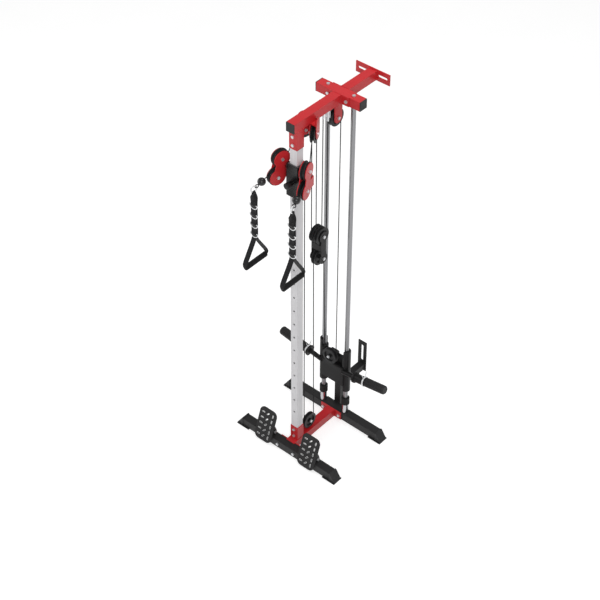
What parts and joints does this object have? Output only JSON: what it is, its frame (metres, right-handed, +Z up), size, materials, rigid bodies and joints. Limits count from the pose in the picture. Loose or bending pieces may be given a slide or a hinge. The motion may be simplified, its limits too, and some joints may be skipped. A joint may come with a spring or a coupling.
{
  "type": "wall-mounted cable station",
  "caption": "Cable station on a slim upright with swivel pulley arms, strap handles, a plate-loaded carriage on guide rods, a floating pulley block and slotted wall brackets.",
  "frame": {"origin": "on the floor, midway between the grips and the wall, in the middle of the station", "axes": "+X to the right as the user faces the machine, +Y to the wall, +Z up"},
  "size_m": [0.746, 0.816, 2.179],
  "materials": {
    "red_paint": "gloss powder coat",
    "black_paint": "satin powder coat",
    "grey_paint": "satin powder coat",
    "black_plastic": "moulded",
    "grey_plastic": "moulded",
    "rubber": "matt",
    "chrome": "polished",
    "steel": "zinc plated",
    "webbing": "woven",
    "foam": "foam grip",
    "cable": "coated steel cable"
  },
  "bodies": {
    "frame": {"front_foot": "black_paint", "rear_foot": "black_paint", "shoes": "black_plastic", "base_beam": "red_paint", "upright": "grey_paint", "top_beam": "red_paint", "cross_beam": "red_paint", "wall_arm": "red_paint", "beam_caps": "black_plastic", "guide_rods": "chrome", "rod_collars": "chrome", "bumpers": "rubber", "wall_bracket": "black_paint", "foot_plates": "black_paint", "foot_plate_saddles": "black_paint", "frame_bolts": "steel", "pulley_brackets": "red_paint", "frame_axles": "steel", "cable_anchors": "steel", "handle_cable_left": "cable", "handle_cable_right": "cable", "weight_cable": "cable"},
    "low_pulley": {"low_pulley": "black_plastic"},
    "rear_top_pulley": {"rear_top_pulley": "black_plastic"},
    "front_pulley_left": {"front_pulley_left": "black_plastic"},
    "front_pulley_right": {"front_pulley_right": "black_plastic"},
    "trolley": {"trolley": "black_paint", "trolley_liners": "grey_plastic", "trolley_hardware": "steel", "pop_pin_spring": "steel"},
    "pop_pin": {"pop_pin": "black_plastic"},
    "arm_right": {"arm_right": "red_paint", "arm_axles_right": "steel"},
    "arm_upper_pulley_right": {"arm_upper_pulley_right": "black_plastic"},
    "arm_lower_pulley_right": {"arm_lower_pulley_right": "black_plastic"},
    "handle_right": {"stop_ball_right": "black_plastic"},
    "carabiner_right": {"carabiner_right": "chrome"},
    "strap_right": {"strap_right": "webbing", "d_rings_right": "chrome", "grip_right": "foam"},
    "arm_left": {"arm_left": "red_paint", "arm_axles_left": "steel"},
    "arm_upper_pulley_left": {"arm_upper_pulley_left": "black_plastic"},
    "arm_lower_pulley_left": {"arm_lower_pulley_left": "black_plastic"},
    "handle_left": {"stop_ball_left": "black_plastic"},
    "carabiner_left": {"carabiner_left": "chrome"},
    "strap_left": {"strap_left": "webbing", "d_rings_left": "chrome", "grip_left": "foam"},
    "floating_block": {"block_plates": "black_paint", "block_axles": "steel"},
    "block_pulley_left": {"block_pulley_left": "black_plastic"},
    "block_pulley_right": {"block_pulley_right": "black_plastic"},
    "block_lower_pulley": {"block_lower_pulley": "black_plastic"},
    "carriage": {"carriage": "black_paint", "carriage_bushes": "grey_plastic", "carriage_axle": "steel", "horn_caps": "black_plastic", "spring_clips": "chrome"},
    "carriage_pulley": {"carriage_pulley": "black_plastic"}
  },
  "joints": [
    {"name": "carriage_lift", "type": "slide", "parent": "frame", "child": "carriage", "axis": [0, 0, 1], "range_m": [0, 0.55], "deforming": ["handle_cable_left", "handle_cable_right", "weight_cable"]},
    {"name": "trolley_slide", "type": "slide", "parent": "frame", "child": "trolley", "axis": [0, 0, 1], "range_m": [-1.104, 0], "deforming": ["handle_cable_left", "handle_cable_right", "weight_cable"]},
    {"name": "pop_pin_pull", "type": "slide", "parent": "trolley", "child": "pop_pin", "axis": [0, -1, 0], "range_m": [-0.008, 0], "deforming": ["pop_pin_spring"]},
    {"name": "block_follow", "type": "slide", "parent": "carriage", "child": "floating_block", "axis": [0, 0, 1], "range_m": [0, 0.552]},
    {"name": "low_pulley_spin", "type": "hinge", "parent": "frame", "child": "low_pulley", "pos_m": [0, -0.05804, 0.106], "axis": [1, 0, 0], "continuous": true},
    {"name": "rear_top_pulley_spin", "type": "hinge", "parent": "frame", "child": "rear_top_pulley", "pos_m": [0, 0.12696, 2.04], "axis": [1, 0, 0], "continuous": true},
    {"name": "front_pulley_right_spin", "type": "hinge", "parent": "frame", "child": "front_pulley_right", "pos_m": [0.0322, -0.06614, 2.062], "axis": [0.9026, 0.4305, 0], "continuous": true},
    {"name": "arm_right_swivel", "type": "hinge", "parent": "trolley", "child": "arm_right", "pos_m": [0.069, -0.14304, 1.847], "axis": [0, 0, 1], "range_deg": [-16, 59]},
    {"name": "arm_upper_pulley_right_spin", "type": "hinge", "parent": "arm_right", "child": "arm_upper_pulley_right", "pos_m": [0.08003, -0.18149, 1.931], "axis": [-0.9613, -0.2756, 0], "continuous": true},
    {"name": "arm_lower_pulley_right_spin", "type": "hinge", "parent": "arm_right", "child": "arm_lower_pulley_right", "pos_m": [0.08692, -0.20552, 1.833], "axis": [-0.9613, -0.2756, 0], "continuous": true},
    {"name": "handle_right_pull", "type": "slide", "parent": "arm_right", "child": "handle_right", "axis": [0.2387, -0.8325, -0.5], "range_m": [0, 1.1]},
    {"name": "carabiner_right_swing", "type": "hinge", "parent": "handle_right", "child": "carabiner_right", "pos_m": [0.11919, -0.31806, 1.8116], "axis": [-0.9613, -0.2756, 0], "range_deg": [-25, 25]},
    {"name": "strap_right_swing", "type": "hinge", "parent": "carabiner_right", "child": "strap_right", "pos_m": [0.12174, -0.32696, 1.78925], "axis": [0.2756, -0.9613, 0], "range_deg": [-30, 30]},
    {"name": "front_pulley_left_spin", "type": "hinge", "parent": "frame", "child": "front_pulley_left", "pos_m": [-0.0322, -0.06614, 2.062], "axis": [0.9026, -0.4305, 0], "continuous": true},
    {"name": "arm_left_swivel", "type": "hinge", "parent": "trolley", "child": "arm_left", "pos_m": [-0.069, -0.14304, 1.847], "axis": [0, 0, 1], "range_deg": [-59, 16]},
    {"name": "arm_upper_pulley_left_spin", "type": "hinge", "parent": "arm_left", "child": "arm_upper_pulley_left", "pos_m": [-0.08003, -0.18149, 1.931], "axis": [-0.9613, 0.2756, 0], "continuous": true},
    {"name": "arm_lower_pulley_left_spin", "type": "hinge", "parent": "arm_left", "child": "arm_lower_pulley_left", "pos_m": [-0.08692, -0.20552, 1.833], "axis": [-0.9613, 0.2756, 0], "continuous": true},
    {"name": "handle_left_pull", "type": "slide", "parent": "arm_left", "child": "handle_left", "axis": [-0.2387, -0.8325, -0.5], "range_m": [0, 1.1]},
    {"name": "carabiner_left_swing", "type": "hinge", "parent": "handle_left", "child": "carabiner_left", "pos_m": [-0.11919, -0.31806, 1.8116], "axis": [-0.9613, 0.2756, 0], "range_deg": [-25, 25]},
    {"name": "strap_left_swing", "type": "hinge", "parent": "carabiner_left", "child": "strap_left", "pos_m": [-0.12174, -0.32696, 1.78925], "axis": [-0.2756, -0.9613, 0], "range_deg": [-30, 30]},
    {"name": "block_pulley_left_spin", "type": "hinge", "parent": "floating_block", "child": "block_pulley_left", "pos_m": [-0.015, 0.01196, 1.388], "axis": [1, 0, 0], "continuous": true},
    {"name": "block_pulley_right_spin", "type": "hinge", "parent": "floating_block", "child": "block_pulley_right", "pos_m": [0.015, 0.01196, 1.388], "axis": [1, 0, 0], "continuous": true},
    {"name": "block_lower_pulley_spin", "type": "hinge", "parent": "floating_block", "child": "block_lower_pulley", "pos_m": [0, 0.01196, 1.246], "axis": [1, 0, 0], "continuous": true},
    {"name": "carriage_pulley_spin", "type": "hinge", "parent": "carriage", "child": "carriage_pulley", "pos_m": [0, 0.11996, 0.472], "axis": [0, 1, 0], "continuous": true}
  ],
  "couplings": [
    {"joint": "block_follow", "follows": "trolley_slide", "ratio": -0.5},
    {"joint": "low_pulley_spin", "follows": "trolley_slide", "rad_per_m": -25},
    {"joint": "front_pulley_right_spin", "follows": "carriage_lift", "rad_per_m": 50},
    {"joint": "arm_upper_pulley_right_spin", "follows": "carriage_lift", "rad_per_m": 50},
    {"joint": "arm_lower_pulley_right_spin", "follows": "carriage_lift", "rad_per_m": -50},
    {"joint": "handle_right_pull", "follows": "carriage_lift", "ratio": 2},
    {"joint": "front_pulley_left_spin", "follows": "carriage_lift", "rad_per_m": 50},
    {"joint": "arm_upper_pulley_left_spin", "follows": "carriage_lift", "rad_per_m": 50},
    {"joint": "arm_lower_pulley_left_spin", "follows": "carriage_lift", "rad_per_m": -50},
    {"joint": "handle_left_pull", "follows": "carriage_lift", "ratio": 2},
    {"joint": "block_pulley_left_spin", "follows": "carriage_lift", "rad_per_m": -25},
    {"joint": "block_pulley_right_spin", "follows": "carriage_lift", "rad_per_m": -25},
    {"joint": "block_lower_pulley_spin", "follows": "carriage_lift", "rad_per_m": 25},
    {"joint": "carriage_pulley_spin", "follows": "carriage_lift", "rad_per_m": 25}
  ]
}
